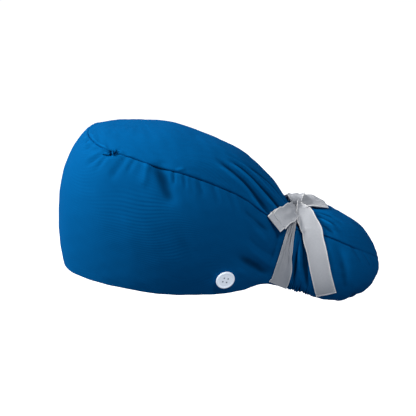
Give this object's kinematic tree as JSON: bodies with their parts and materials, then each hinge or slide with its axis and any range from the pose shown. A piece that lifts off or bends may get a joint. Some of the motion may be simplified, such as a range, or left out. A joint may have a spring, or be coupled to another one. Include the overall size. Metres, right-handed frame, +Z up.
{
  "type": "scrub cap",
  "caption": "Bouffant cloth cap with a gathered crown panel, a pouch for long hair, a ribbon tie with a bow and mask buttons.",
  "frame": {"origin": "middle of the head opening, level with the hem at the forehead", "axes": "+Z up as worn, -Y towards the forehead, +Y towards the pouch, +X towards the wearer's left"},
  "size_m": [0.167, 0.3212, 0.1757],
  "materials": {
    "cloth": "fine plain-woven blue cotton blend with a faint sheen",
    "ribbon": "pale grey ribbed ribbon with a woven edge",
    "button": "pale blue-grey glossy plastic"
  },
  "bodies": {
    "root": {"side_band": "cloth", "top_panel": "cloth", "ribbon_knot": "ribbon", "ribbon_strap_left": "ribbon", "bow_loop_left": "ribbon", "ribbon_tail_left": "ribbon", "button_left": "button", "ribbon_strap_right": "ribbon", "bow_loop_right": "ribbon", "ribbon_tail_right": "ribbon", "button_right": "button"}
  },
  "joints": []
}
